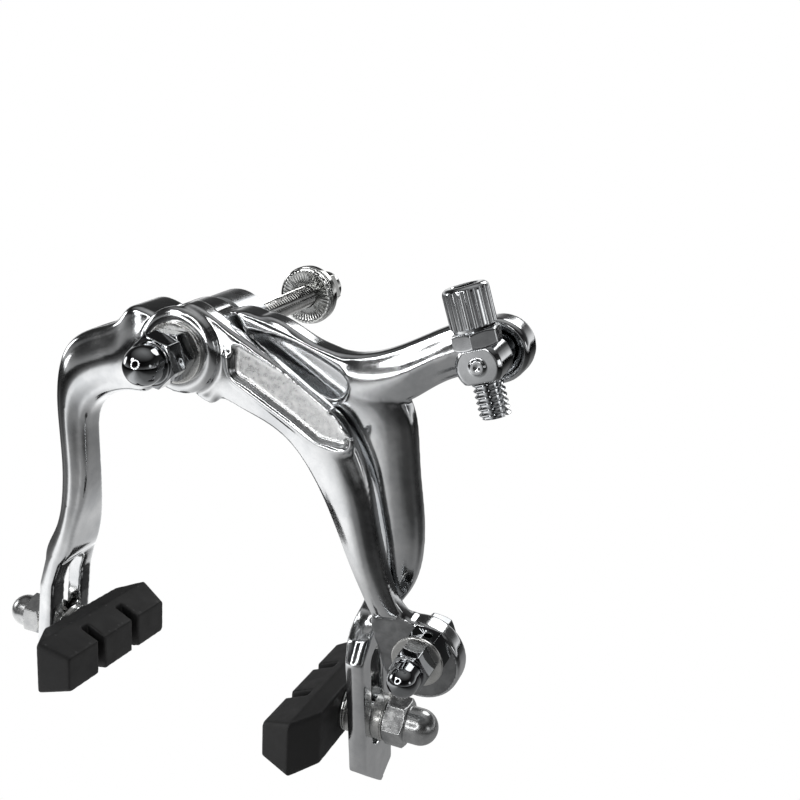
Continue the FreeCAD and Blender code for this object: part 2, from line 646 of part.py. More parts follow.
def make_adjuster():
    """Swivel in the end of the rear arm, with the threaded barrel and its lock nut."""
    lean = math.radians(adjuster_tilt)
    up = V(-math.sin(lean), 0, math.cos(lean))
    pivot = at(end_boss_x, 0, end_boss_z)
    centre = at(end_boss_x, adjuster_depth, end_boss_z)
    floor = end_boss_front + end_boss_recess
    rear = end_boss_back + swivel_washer_thickness
    b = swivel_button_radius
    swivel = lathe([
        V(0, 0, swivel_front - swivel_button_height + 0.4), V(0.7, 0, swivel_front - swivel_button_height),
        V(b - 0.3, 0, swivel_front - swivel_button_height), V(b, 0, swivel_front),
        V(swivel_radius - 0.7, 0, swivel_front), V(swivel_radius, 0, swivel_front + 0.7),
        V(swivel_radius, 0, swivel_back - 0.7), V(swivel_radius - 0.7, 0, swivel_back),
        V(swivel_collar_radius, 0, swivel_back), V(swivel_collar_radius, 0, floor - running_clearance),
        V(swivel_shank_radius, 0, floor - running_clearance), V(swivel_shank_radius, 0, rear),
        V(rivet_radius, 0, rear), V(rivet_radius, 0, rear + rivet_height / 3),
        V(rivet_radius * 0.7, 0, rear + rivet_height), V(0, 0, rear + rivet_height),
    ], pivot, V(0, 1, 0))
    slab = Part.makeBox(20, 12, 10, V(-10, swivel_front - 1, swivel_flat))
    slab.rotate(V(0, 0, 0), V(0, 1, 0), -adjuster_tilt)
    slab.translate(pivot)
    lower = Part.makeBox(20, 12, 10, V(-10, swivel_front - 1, -swivel_lower_flat - 10))
    lower.rotate(V(0, 0, 0), V(0, 1, 0), -adjuster_tilt)
    lower.translate(pivot)
    tunnel = rod(barrel_radius + running_clearance, 40, centre - up * 20, up)
    swivel = swivel.cut([slab, lower, tunnel])
    washer = ring(swivel_washer_radius, swivel_shank_radius + running_clearance, swivel_washer_thickness,
                  at(end_boss_x, end_boss_back, end_boss_z), V(0, 1, 0))
    nut = placed(hexagon_nut(adjuster_nut_flats, adjuster_nut_length, barrel_radius + running_clearance),
                 centre + up * swivel_flat, up, adjuster_nut_turn)
    neck = swivel_flat + adjuster_nut_length
    head = neck + neck_length
    top = head + head_length
    r = head_round
    m = 1 - math.sqrt(0.5)
    barrel = lathe([
        V(barrel_bore, 0, -barrel_tail), V(barrel_radius - 0.5, 0, -barrel_tail),
        V(barrel_radius, 0, -barrel_tail + 0.5), V(barrel_radius, 0, neck), V(neck_radius, 0, neck),
        V(neck_radius, 0, head), V(head_radius - 0.3, 0, head), V(head_radius, 0, head + 0.3),
        V(head_radius, 0, top - r), (V(head_radius - m * r, 0, top - m * r), V(head_radius - r, 0, top)),
        V(socket_radius, 0, top), V(socket_radius, 0, top - socket_depth),
        V(barrel_bore, 0, top - socket_depth)])
    flutes = []
    for i in range(head_flutes):
        turn = 2 * math.pi * i / head_flutes
        ring_at = head_radius + flute_radius * 0.35
        flutes.append(rod(flute_radius, head_length - r, V(ring_at * math.cos(turn), ring_at * math.sin(turn),
                                                            head - 0.01)))
    barrel = placed(barrel.cut(flutes), centre, up)
    return swivel, washer, nut, barrel


def make_anchor():
    """Cable anchor: hexagonal head on the lug, disc and acorn nut in front, nut behind."""
    forward = V(0, -1, 0)
    top = lug_front - anchor_head_length
    nut_seat = top - anchor_disc_thickness
    tip = nut_seat - anchor_thread_depth + 0.3
    tail = lug_back + anchor_rear_nut_length
    head = placed(hexagon(anchor_head_flats, anchor_head_length), at(anchor_x, lug_front, anchor_z), forward,
                  anchor_head_turn)
    shank = rod(anchor_bolt_radius, tail - tip, at(anchor_x, tail, anchor_z), forward)
    lean = math.radians(adjuster_tilt)
    cable = V(end_boss_x + barrel_tail * math.sin(lean) - anchor_x, 0,
              end_boss_z - barrel_tail * math.cos(lean) - anchor_z)
    cable.normalize()
    hole = rod(cable_hole_radius, 40, at(anchor_x, (lug_front + top) / 2, anchor_z) - cable * 20, cable)
    bolt = head.fuse(shank).cut(hole)
    disc = ring(anchor_disc_radius, anchor_bolt_radius, anchor_disc_thickness, at(anchor_x, top, anchor_z),
                forward)
    nut = placed(acorn(anchor_nut_flats, anchor_nut_hex, anchor_nut_neck, anchor_dome_radius,
                       anchor_bolt_radius, anchor_thread_depth), at(anchor_x, nut_seat, anchor_z), forward,
                 anchor_nut_turn)
    rear = placed(hexagon_nut(anchor_rear_nut_flats, anchor_rear_nut_length, anchor_bolt_radius),
                  at(anchor_x, lug_back, anchor_z), V(0, 1, 0), 10)
    return bolt, disc, nut, rear


def save(name, shape):
    """Writes one piece, or one group of like pieces, under its name."""
    solids = shape.Solids
    whole = solids[0] if len(solids) == 1 else Part.makeCompound(solids)
    whole.exportStep(os.path.join("parts", name + ".step"))
    print(name, len(solids), "valid" if whole.isValid() else "INVALID", round(whole.Volume, 1))


os.makedirs("parts", exist_ok=True)
forward = V(0, -1, 0)
rearward = V(0, 1, 0)
jam_seat = -front_washer_thickness
acorn_seat = jam_seat - jam_nut_thickness
bolt_tip = acorn_seat - acorn_thread_depth + 0.3
ring_front = toothed_washer_front + toothed_washer_thickness
nut_front = ring_front + seat_ring_thickness + lock_nut_gap

save("front_arm", make_front_arm())
save("rear_arm", make_rear_arm())
save("centre_bolt", lathe([V(0, 0, 0), V(bolt_radius - 0.6, 0, 0), V(bolt_radius, 0, 0.6),
                           V(bolt_radius, 0, bolt_tail - front_face - bolt_tip - 0.6),
                           V(bolt_radius - 0.6, 0, bolt_tail - front_face - bolt_tip),
                           V(0, 0, bolt_tail - front_face - bolt_tip)], at(0, bolt_tip, 0), rearward))
save("pivot_block", make_block())
save("return_spring", make_spring())
save("rear_boss_washer", ring(boss_washer_radius, bolt_radius, boss_washer_thickness,
                              V(0, rear_boss_back, 0), rearward))
save("middle_boss_washer", ring(boss_washer_radius, bolt_radius, boss_washer_thickness,
                                V(0, front_boss_back, 0), rearward))
save("front_washer", ring(front_washer_radius, bolt_radius, front_washer_thickness, at(0, 0, 0), forward))
save("jam_nut", placed(hexagon_nut(nut_across_flats, jam_nut_thickness, bolt_radius),
                       at(0, jam_seat, 0), forward, jam_nut_turn))
save("front_acorn_nut", placed(acorn(nut_across_flats, acorn_hex_length, acorn_neck_length, acorn_dome_radius,
                                     bolt_radius, acorn_thread_depth), at(0, acorn_seat, 0), forward,
                               front_acorn_turn))
save("toothed_washer", make_toothed_washer())
save("seat_ring", ring(seat_ring_radius, bolt_radius + 0.3, seat_ring_thickness, V(0, ring_front, 0),
                       rearward, 0.3))
save("lock_nut", make_lock_nut(nut_front))

shoes = (("left", -1, left_plate_reach, left_stud_height, left_plate_tilt, left_shoe_pitch,
          left_shoe_drop, left_acorn_turn),
         ("right", 1, right_plate_reach, right_stud_height, right_plate_tilt, right_shoe_pitch,
          right_shoe_drop, right_acorn_turn))
for name, *places in shoes:
    rubber, stud, washers, nut = make_shoe(*places)
    save(name + "_shoe", rubber)
    save(name + "_shoe_stud", stud)
    for label, washer in zip(("outer_dished", "outer_domed", "inner_dished", "inner_domed"), washers):
        save(name + "_" + label + "_washer", washer)
    save(name + "_acorn_nut", nut)

swivel, swivel_washer, adjuster_nut, barrel = make_adjuster()
save("adjuster_swivel", swivel)
save("swivel_washer", swivel_washer)
save("adjuster_lock_nut", adjuster_nut)
save("adjuster_barrel", barrel)

anchor_bolt, anchor_washer, anchor_nut, anchor_rear_nut = make_anchor()
save("anchor_bolt", anchor_bolt)
save("anchor_washer", anchor_washer)
save("anchor_acorn_nut", anchor_nut)
save("anchor_rear_nut", anchor_rear_nut)
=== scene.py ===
import bpy
import json
import math
from mathutils import Matrix, Vector

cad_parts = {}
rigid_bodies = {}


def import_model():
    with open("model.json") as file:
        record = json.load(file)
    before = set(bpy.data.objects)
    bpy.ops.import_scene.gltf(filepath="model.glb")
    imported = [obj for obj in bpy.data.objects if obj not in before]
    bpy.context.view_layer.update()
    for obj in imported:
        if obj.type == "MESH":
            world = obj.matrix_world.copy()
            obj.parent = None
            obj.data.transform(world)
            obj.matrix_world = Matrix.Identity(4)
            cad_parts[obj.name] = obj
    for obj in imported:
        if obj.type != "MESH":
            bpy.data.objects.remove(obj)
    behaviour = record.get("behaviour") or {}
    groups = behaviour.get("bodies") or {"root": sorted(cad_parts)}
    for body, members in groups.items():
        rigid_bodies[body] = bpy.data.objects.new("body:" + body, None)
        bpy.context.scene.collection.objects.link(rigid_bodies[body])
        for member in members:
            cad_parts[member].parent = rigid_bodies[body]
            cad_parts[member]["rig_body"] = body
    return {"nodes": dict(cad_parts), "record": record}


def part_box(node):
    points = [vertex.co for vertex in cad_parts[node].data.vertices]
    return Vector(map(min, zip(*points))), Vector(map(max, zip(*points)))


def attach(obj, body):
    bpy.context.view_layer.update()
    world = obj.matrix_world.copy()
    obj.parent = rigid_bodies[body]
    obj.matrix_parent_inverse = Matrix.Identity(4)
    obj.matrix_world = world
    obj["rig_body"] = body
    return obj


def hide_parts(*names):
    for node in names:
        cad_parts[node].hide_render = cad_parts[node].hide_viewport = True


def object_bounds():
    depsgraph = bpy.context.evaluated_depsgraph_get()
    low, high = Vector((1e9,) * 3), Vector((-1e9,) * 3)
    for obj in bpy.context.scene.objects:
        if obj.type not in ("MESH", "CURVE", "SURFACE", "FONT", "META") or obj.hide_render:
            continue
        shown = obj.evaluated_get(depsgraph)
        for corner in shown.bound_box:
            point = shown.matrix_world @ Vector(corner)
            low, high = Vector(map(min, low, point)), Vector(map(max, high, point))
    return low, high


bl_info = {
    "name": "Side-pull caliper brake",
    "version": (1, 0, 0),
    "blender": (4, 5, 0),
    "location": "3D View > Sidebar > Brake",
    "description": "Dresses the solids of a side-pull caliper brake in polished metal and rubber",
    "category": "Object",
}

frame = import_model()
cad_low, cad_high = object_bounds()
MM = 0.001

# How near two points are to be welded into one, in millimetres
WELD = 0.002
TURNING_WELD = 0.003
THREAD_WELD = 0.001

# Steps in one turn of a turned piece and of a small bore, and share of the way that one rub moves a point
TURNING_STEPS = 72
BORE_STEPS = 32
RUB_SHARE = 0.5

# Broken edges: strips across them, and how much more the large faces count in their shading
EDGE_SEGMENTS = 2
FACE_WEIGHT = 80

# Angles in degrees above which an edge stays sharp
SHARP_EDGE = 35.0
SHARP_THREAD = 28.0
SHARP_BARREL = 32.0

# Places and sizes in millimetres, as the solids have them; a depth is taken back from the front face
FRONT_FACE = -30.6

# Pocket in the front arm: the depth and outline of its floor, and the bead beside it: its depth, its line,
# and its steps around and along
POCKET_DEPTH = 3.3
POCKET = ((14.0, 3.2), (27.0, -2.6), (38.4, -10.6), (42.8, -15.4), (41.6, -17.0), (35.6, -16.6),
          (28.2, -12.0), (17.0, -5.8), (13.2, -4.2))
BEAD_DEPTH = 2.1
BEAD = ((12.4, 0.6), (12.3, -4.6), (16.6, -7.0), (27.8, -13.2), (35.2, -17.9), (41.9, -18.3), (43.9, -16.2),
        (43.4, -14.4))
BEAD_STEPS_AROUND = 4
BEAD_STEPS_ALONG = 10

# Anchor lug's flat face: the web that widens it toward the arm, the cut in front of it, and its outline
LUG_FRONT = 3.8
LUG_CLEARING = 8.0
WEB_THICKNESS = 5.2
LUG_WEB = ((48.8, -60.8), (49.0, -58.8), (50.8, -57.5), (54.7, -57.2), (59.5, -58.2), (58.0, -66.0),
           (54.3, -71.5), (51.8, -69.0), (50.0, -65.0))
LUG_CUT = ((49.6, -60.8), (49.8, -59.2), (51.3, -58.3), (54.7, -57.9), (59.7, -58.9), (64.0, -60.0),
           (60.0, -68.0), (54.5, -70.8), (52.5, -68.6), (50.7, -64.8))
LUG_FACE = ((48.8, -60.8), (49.0, -58.8), (50.8, -57.5), (54.7, -57.2), (61.4, -58.6), (68.0, -61.2),
            (70.9, -66.0), (70.4, -72.0), (66.5, -76.4), (60.0, -77.6), (54.3, -74.5), (50.0, -65.0))

# End of the rear arm: where its boss starts, the recess for the swivel's collar and the bore for its shank
END_BOSS_FRONT = 8.0
END_BOSS_LENGTH = 9.0
RECESS_RADIUS = 4.0
RECESS_DEPTH = 3.15
SHANK_BORE_RADIUS = 2.85

# Cable adjuster: its centre and lean, the swivel's flat, the lock nut on it, and the barrel through both
BARREL_CENTRE = (72.8, -31.4, 7.2)
BARREL_TILT = 18.2
SWIVEL_FLAT = 3.5
LOCK_NUT_FLATS = 9.0
LOCK_NUT_LENGTH = 3.4
LOCK_NUT_BORE = 3.25
LOCK_NUT_TURN = 35.0
BARREL_NECK = SWIVEL_FLAT + LOCK_NUT_LENGTH
BARREL_TAIL = 11.0
BARREL_RADIUS = 3.2
BARREL_OVERLAP = 0.5
COLLAR_RADIUS = 4.2
COLLAR_LENGTH = 0.7
HEAD_RADIUS = 4.7
HEAD_LENGTH = 8.2
HEAD_CHAMFER = 0.3
HEAD_ROUNDING = ((0.0, 1.2), (0.1, 0.74), (0.35, 0.35), (0.74, 0.1), (1.2, 0.0))
HEAD_EDGE = 0.06
SOCKET_RADIUS = 2.6
SOCKET_CHAMFER = 0.2
SOCKET_DEPTH = 7.0
CABLE_HOLE_RADIUS = 1.2
CABLE_HOLE_REACH = 20.0
FLUTES = 22
FLUTE_STEPS = 12
FLUTE_RADIUS = 0.5
FLUTE_LENGTH = 7.6
FLUTE_START = 0.6
FLUTE_OFFSET = 0.16
SLIT_SIZE = (4.0, 0.8, 16.0)
SLIT_PLACE = (2.5, 0.0, -6.0)
SLIT_TURN = -28.0

# One turn of a rolled thread: share of the pitch, and share of the way from its root to its crest; then
# the pitches that it is wound before its start, turns to spare, steps in a turn, the reach of the cut at
# its ends in millimetres, and its depth as a share of the pitch
THREAD = ((0.0, 0.0), (0.12, 0.0), (0.44, 1.0), (0.56, 1.0), (0.88, 0.0), (1.0, 0.0))
THREAD_RUN_IN = 1.43
THREAD_SPARE_TURNS = 4
THREAD_STEPS = 40
THREAD_CUT = 0.0001
BOLT_THREAD_DEPTH = 0.55
BARREL_THREAD_DEPTH = 0.38

# Nuts: how their corners are turned off, how a crown starts inside the hexagon and is rounded at its end,
# and the steps from a dome's side to its top
CORNER_ROOM = 0.02
CORNER_SLOPE = 0.6
CROWN_OVERLAP = 1.0
CROWN_ROUNDING = ((0.0, 0.7), (0.2, 0.2), (0.7, 0.0))
DOME_STEPS = 16

# Each nut: direction from its seat, turn, flats and length of its hexagon, radius and end of its neck, and
# whether the neck has a dome
NUTS = {
    "front_acorn_nut": ((0, -1, 0), -17.0, 11.0, 5.5, 4.6, 8.3, True),
    "left_acorn_nut": ((-1, 0, 0), 8.0, 11.0, 5.5, 4.6, 8.3, True),
    "right_acorn_nut": ((1, 0, 0), 25.5, 11.0, 5.5, 4.6, 8.3, True),
    "anchor_acorn_nut": ((0, -1, 0), 5.0, 8.5, 5.2, 3.6, 8.6, True),
    "jam_nut": ((0, -1, 0), -2.0, 11.0, 3.6, 0.0, 0.0, False),
    "lock_nut": ((0, 1, 0), 10.0, 11.0, 7.0, 4.9, 10.5, False),
    "anchor_rear_nut": ((0, 1, 0), 10.0, 8.0, 3.0, 0.0, 0.0, False),
}

# Pieces that only have their edges broken, that get a fine new skin, and that are only smoothed
BROKEN_EDGES = ("anchor_bolt", "left_shoe_stud", "right_shoe_stud", "pivot_block", "seat_ring")
FINE_SKINS = ("front_washer", "swivel_washer", "adjuster_swivel", "anchor_washer",
              "left_outer_dished_washer", "left_outer_domed_washer", "left_inner_dished_washer",
              "left_inner_domed_washer", "right_outer_dished_washer", "right_outer_domed_washer",
              "right_inner_dished_washer", "right_inner_domed_washer")
SMOOTHED = {"middle_boss_washer": 20, "rear_boss_washer": 20, "toothed_washer": 20, "return_spring": 40}

# Where slow patches begin and end in their noise
NARROW_PATCH = (0.35, 0.65)
WIDE_PATCH = (0.3, 0.7)

# Rubber: sizes of its bloom and pebbles and the pebbles' height in millimetres, the corners that count as
# worn and how pale they get, and its roughness
BLOOM_SIZE = 6.0
PEBBLE_SIZE = 0.35
PEBBLE_HEIGHT = 0.02
WORN_CORNERS = (0.53, 0.6)
WORN_SHARE = 0.35
RUBBER_ROUGHNESS = (0.5, 0.66)

# Soft lamps: name, place in metres, diameter of the disc and power in watts
LAMPS = (
    ("key_softbox", (-0.45, -0.55, 0.5), 0.22, 1.2),
    ("window_softbox", (-0.8, -0.05, 0.12), 0.3, 0.9),
    ("back_softbox", (0.15, 0.7, 0.45), 0.42, 1.5),
    ("side_softbox", (0.8, -0.25, 0.15), 0.2, 0.15),
)

# Ring of small lamps beside the camera, which draws the ring seen in every dome: metres, degrees and watts
RING_LAMPS = 14
RING_DISTANCE = 0.36
RING_TURN = -14.0
RING_SPREAD = 24.0
RING_HEIGHT = 0.14
RING_RISE = 0.15
RING_LAMP_SIZE = 0.05
RING_LAMP_POWER = 0.04

# Floor in metres, and its drop below the brake in millimetres
FLOOR_SIZE = 4.0
FLOOR_DROP = 12.0

# What the metal reflects: cards along the floor from left to right and how they fade with distance, and
# the room's levels from below to above and how it dims toward the front; then the even fill for all else
CARD_REACH = 0.5
CARD_FADE = (0.2, 0.8)
CARD_FAR_LEVEL = 0.1
CARD_LEVEL = 1.25
FLOOR_CARDS = ((0.0, 0.05), (0.2, 0.1), (0.3, 0.22), (0.36, 1.0), (0.42, 1.0), (0.47, 0.55), (0.53, 0.26),
               (0.62, 0.2), (0.72, 0.06), (1.0, 0.03))
ROOM_LEVELS = ((0.45, 0.9), (0.51, 0.9), (0.56, 0.4), (0.62, 0.06), (0.8, 0.02), (0.92, 0.3), (1.0, 0.55))
ROOM_DEPTH = (-0.8, 0.5)
ROOM_FRONT_LEVEL = 0.25
FILL_LEVEL = 0.55

# Camera of the photograph: place in metres, angles in degrees, lens and sensor in millimetres, shift, and
# the nearest and farthest metres that it sees
CAMERA_PLACE = (0.12525, -0.21777, 0.06127)
CAMERA_AZIMUTH = 25.2354
CAMERA_ELEVATION = 22.6196
CAMERA_ROLL = 0.6386
CAMERA_LENS = 44.788
CAMERA_SENSOR = 36.0
CAMERA_SHIFT = 0.1
CAMERA_CLIP = (0.01, 20.0)


def hex_colour(code):
    """Linear colour of an sRGB hex code."""
    channels = []
    for start in (0, 2, 4):
        value = int(code[start:start + 2], 16) / 255
        channels.append(value / 12.92 if value <= 0.04045 else ((value + 0.055) / 1.055) ** 2.4)
    return (*channels, 1.0)


def add_node(tree, kind, settings=None, inputs=None):
    """Adds a node with its settings; an input is a value or the socket that feeds it."""
    node = tree.nodes.new(kind)
    for name, value in (settings or {}).items():
        setattr(node, name, value)
    for name, value in (inputs or {}).items():
        if isinstance(value, bpy.types.NodeSocket):
            tree.links.new(value, node.inputs[name])
        else:
            node.inputs[name].default_value = value
    return node


def new_material(name):
    """Empty node material with its output node."""
    material = bpy.data.materials.new(name)
    material.use_nodes = True
    material.node_tree.nodes.clear()
    return material, material.node_tree, add_node(material.node_tree, "ShaderNodeOutputMaterial")


def set_ramp(node, stops):
    """Places a colour ramp's stops, each a position and a grey level or hex code."""
    ramp = node.color_ramp
    stops = list(stops)
    while len(ramp.elements) < len(stops):
        ramp.elements.new(1.0)
    for element, (position, colour) in zip(ramp.elements, stops):
        element.position = position
        element.color = hex_colour(colour) if isinstance(colour, str) else (colour, colour, colour, 1)


def metal(name, tones, roughness, patch, grain, wave=None):
    """Bare or plated metal: slow patches in tone and gloss, and a fine grain in its surface.

    Tones and roughness run from the dark and clear patches to the light and dull ones. Patch is their size
    in millimetres, and grain and wave are a size and a height in millimetres.
    """
    material, tree, output = new_material(name)
    place = add_node(tree, "ShaderNodeTexCoord").outputs["Object"]
    patches = add_node(tree, "ShaderNodeTexNoise", None,
                       {"Vector": place, "Scale": 1 / (patch * MM), "Detail": 4.0, "Roughness": 0.6})
    tone = add_node(tree, "ShaderNodeValToRGB", None, {"Fac": patches.outputs["Fac"]})
    set_ramp(tone, zip(NARROW_PATCH, tones))
    gloss = add_node(tree, "ShaderNodeMapRange", None,
                     {"Value": patches.outputs["Fac"], "From Min": WIDE_PATCH[0],
                      "From Max": WIDE_PATCH[1], "To Min": roughness[0], "To Max": roughness[1]})
    speck = add_node(tree, "ShaderNodeTexNoise", None,
                     {"Vector": place, "Scale": 1 / (grain[0] * MM), "Detail": 3.0, "Roughness": 0.55})
    bump = add_node(tree, "ShaderNodeBump", None,
                    {"Height": speck.outputs["Fac"], "Strength": 1.0, "Distance": grain[1] * MM})
    normal = bump.outputs["Normal"]
    if wave:
        swell = add_node(tree, "ShaderNodeTexNoise", None,
                         {"Vector": place, "Scale": 1 / (wave[0] * MM), "Detail": 1.0})
        slope = add_node(tree, "ShaderNodeBump", None,
                         {"Height": swell.outputs["Fac"], "Strength": 1.0, "Distance": wave[1] * MM,
                          "Normal": normal})
        normal = slope.outputs["Normal"]
    shader = add_node(tree, "ShaderNodeBsdfPrincipled", None,
                      {"Base Color": tone.outputs["Color"], "Metallic": 1.0,
                       "Roughness": gloss.outputs["Result"], "Normal": normal})
    tree.links.new(shader.outputs["BSDF"], output.inputs["Surface"])
    return material


def polished_aluminium():
    """Forged aluminium, buffed bright: clear reflections, softened by a faint buffing grain."""
    return metal("polished_forged_aluminium", tones=("CCCED0", "E4E5E6"), roughness=(0.1, 0.18), patch=9.0,
                 grain=(0.3, 0.006), wave=(7.0, 0.04))


def blasted_aluminium():
    """The pocket's floor, left as the die and the shot made it: a pale, sparkling grain."""
    return metal("blasted_aluminium", tones=("D0D1D2", "F0F0F0"), roughness=(0.22, 0.38), patch=1.2,
                 grain=(0.35, 0.025))


def lug_aluminium():
    """The anchor lug's flat face, milled and left unpolished: darker, dull grey."""
    return metal("milled_aluminium", tones=("7E7F80", "959697"), roughness=(0.3, 0.42), patch=2.5,
                 grain=(0.35, 0.012))


def chrome_with_painted_shade():
    """Chrome over turned steel, its colour painted darker than bare chrome as painted shade: the sharpest
    reflections on the brake.
    """
    # The tones are painted shade: chrome darkened to stand in for the dark room that its reflections show
    return metal("chrome_plated_steel_painted_dark", tones=("8A8C8E", "9C9EA0"), roughness=(0.03, 0.07), patch=4.0,
                 grain=(0.3, 0.0009))


def bright_plate():
    """Brighter plate of the cable adjuster, with white and black reflections side by side."""
    return metal("bright_plated_brass", tones=("C6C8CA", "DCDEE0"), roughness=(0.07, 0.13), patch=4.0,
                 grain=(0.25, 0.002))


def tumbled_plate():
    """Tumbled and plated nuts of the shoes: a fine grain, and softer reflections than the chrome."""
    return metal("tumbled_plated_steel", tones=("B2B3B4", "CCCDCD"), roughness=(0.2, 0.3), patch=2.0,
                 grain=(0.22, 0.008))


def nickel_plate():
    """Nickel on pressed washers: bright but slightly milky."""
    return metal("nickel_plated_steel", tones=("C2C2C0", "D8D8D6"), roughness=(0.22, 0.32), patch=3.0,
                 grain=(0.2, 0.002))


def zinc_plate():
    """Zinc on the bolt's rear washers and nut: bright grey, with faint cloudy patches."""
    return metal("zinc_plated_steel", tones=("C4C5C4", "E0E1DF"), roughness=(0.09, 0.16), patch=2.2,
                 grain=(0.18, 0.002))


def bolt_steel():
    """Rolled and zinc plated bolt: bright, with fine streaks left by the thread roller."""
    return metal("rolled_bolt_steel", tones=("C6C6C4", "E2E2E0"), roughness=(0.1, 0.18), patch=2.5,
                 grain=(0.2, 0.002))


def satin_aluminium():
    """Turned and anodised aluminium of the pivot block: even satin grey."""
    return metal("satin_anodised_aluminium", tones=("A8AAAC", "BFC1C3"), roughness=(0.22, 0.34), patch=5.0,
                 grain=(0.15, 0.003))


def shoe_rubber():
    """Moulded brake rubber: near black, matte, with a fine pebbled skin and paler worn edges."""
    material, tree, output = new_material("moulded_black_rubber")
    place = add_node(tree, "ShaderNodeTexCoord").outputs["Object"]
    bloom = add_node(tree, "ShaderNodeTexNoise", None,
                     {"Vector": place, "Scale": 1 / (BLOOM_SIZE * MM), "Detail": 5.0, "Roughness": 0.65})
    tone = add_node(tree, "ShaderNodeValToRGB", None, {"Fac": bloom.outputs["Fac"]})
    set_ramp(tone, zip(WIDE_PATCH, ("0B0B0C", "131314")))
    edges = add_node(tree, "ShaderNodeNewGeometry").outputs["Pointiness"]
    worn = add_node(tree, "ShaderNodeMapRange", None,
                    {"Value": edges, "From Min": WORN_CORNERS[0], "From Max": WORN_CORNERS[1],
                     "To Min": 0.0, "To Max": WORN_SHARE})
    colour = add_node(tree, "ShaderNodeMix", {"data_type": "RGBA"}, {"Factor": worn.outputs["Result"]})
    tree.links.new(tone.outputs["Color"], colour.inputs[6])
    colour.inputs[7].default_value = hex_colour("48484A")
    pebbles = add_node(tree, "ShaderNodeTexNoise", None,
                       {"Vector": place, "Scale": 1 / (PEBBLE_SIZE * MM), "Detail": 4.0, "Roughness": 0.6})
    bump = add_node(tree, "ShaderNodeBump", None,
                    {"Height": pebbles.outputs["Fac"], "Strength": 1.0, "Distance": PEBBLE_HEIGHT * MM})
    gloss = add_node(tree, "ShaderNodeMapRange", None,
                     {"Value": bloom.outputs["Fac"], "From Min": WIDE_PATCH[0], "From Max": WIDE_PATCH[1],
                      "To Min": RUBBER_ROUGHNESS[0], "To Max": RUBBER_ROUGHNESS[1]})
    shader = add_node(tree, "ShaderNodeBsdfPrincipled", None,
                      {"Base Color": colour.outputs[2], "Roughness": gloss.outputs["Result"],
                       "IOR": 1.5, "Normal": bump.outputs["Normal"]})
    tree.links.new(shader.outputs["BSDF"], output.inputs["Surface"])
    return material


MAKERS = {
    "polished_aluminium": polished_aluminium,
    "chromed_steel": chrome_with_painted_shade,
    "adjuster": bright_plate,
    "shoe_nut": tumbled_plate,
    "bright_steel": nickel_plate,
    "zinc_plated_steel": zinc_plate,
    "bolt_steel": bolt_steel,
    "spring_steel": bolt_steel,
    "block_aluminium": satin_aluminium,
    "shoe_rubber": shoe_rubber,
}
OWN_FINISH = {"adjuster_barrel": "adjuster", "adjuster_lock_nut": "adjuster", "adjuster_swivel": "adjuster",
              "swivel_washer": "adjuster", "left_acorn_nut": "shoe_nut", "right_acorn_nut": "shoe_nut"}
FINISHES = {}


def finish_of(node):
    """Material of a node: its own where it has one, or its slot's; each is made once."""
    key = OWN_FINISH.get(node, slot_of(node))
    if key not in FINISHES:
        FINISHES[key] = MAKERS[key]()
    return FINISHES[key]


def slot_of(node):
    """The record's material slot of a node."""
    return next(part["material_slot"] for part in frame["record"]["subparts"] if part["node"] == node)


def body_of(node):
    """The body that a node rides on."""
    return frame["nodes"][node]["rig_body"]


def clear_selection():
    """Leaves edit mode and selects nothing."""
    if bpy.context.object and bpy.context.object.mode != "OBJECT":
        bpy.ops.object.mode_set(mode="OBJECT")
    bpy.ops.object.select_all(action="DESELECT")


def make_active(piece):
    """Selects one piece alone and makes it the active one."""
    clear_selection()
    piece.select_set(True)
    bpy.context.view_layer.objects.active = piece


def welded_copy(node, name):
    """Copy of a node's mesh with its loose triangles joined."""
    mesh = frame["nodes"][node].data.copy()
    mesh.name = name
    mesh.materials.clear()
    piece = bpy.data.objects.new(name, mesh)
    bpy.context.scene.collection.objects.link(piece)
    make_active(piece)
    bpy.ops.object.mode_set(mode="EDIT")
    bpy.ops.mesh.select_all(action="SELECT")
    bpy.ops.mesh.remove_doubles(threshold=WELD * MM)
    bpy.ops.object.mode_set(mode="OBJECT")
    return piece


def apply_all(piece):
    """Applies the modifiers of a piece in their order."""
    make_active(piece)
    for modifier in list(piece.modifiers):
        bpy.ops.object.modifier_apply(modifier=modifier.name)


def buff(piece, grain, passes):
    """Rebuilds a piece's skin at one grain size and rubs its edges round."""
    remesh = piece.modifiers.new("skin", "REMESH")
    remesh.mode = "VOXEL"
    remesh.voxel_size = grain
    rub = piece.modifiers.new("rub", "SMOOTH")
    rub.factor = RUB_SHARE
    rub.iterations = passes
    apply_all(piece)
    bpy.ops.object.shade_smooth()


def break_edges(piece, width):
    """Small bevel along a piece's sharp edges, with its large faces shaded flat right up to it."""
    bevel = piece.modifiers.new("broken_edges", "BEVEL")
    bevel.width = width
    bevel.segments = EDGE_SEGMENTS
    bevel.limit_method = "ANGLE"
    bevel.angle_limit = math.radians(SHARP_EDGE)
    bevel.use_clamp_overlap = True
    apply_all(piece)
    bpy.ops.object.shade_smooth_by_angle(angle=math.radians(SHARP_EDGE))
    weighting = piece.modifiers.new("even_shading", "WEIGHTED_NORMAL")
    weighting.keep_sharp = True
    weighting.weight = FACE_WEIGHT
    apply_all(piece)


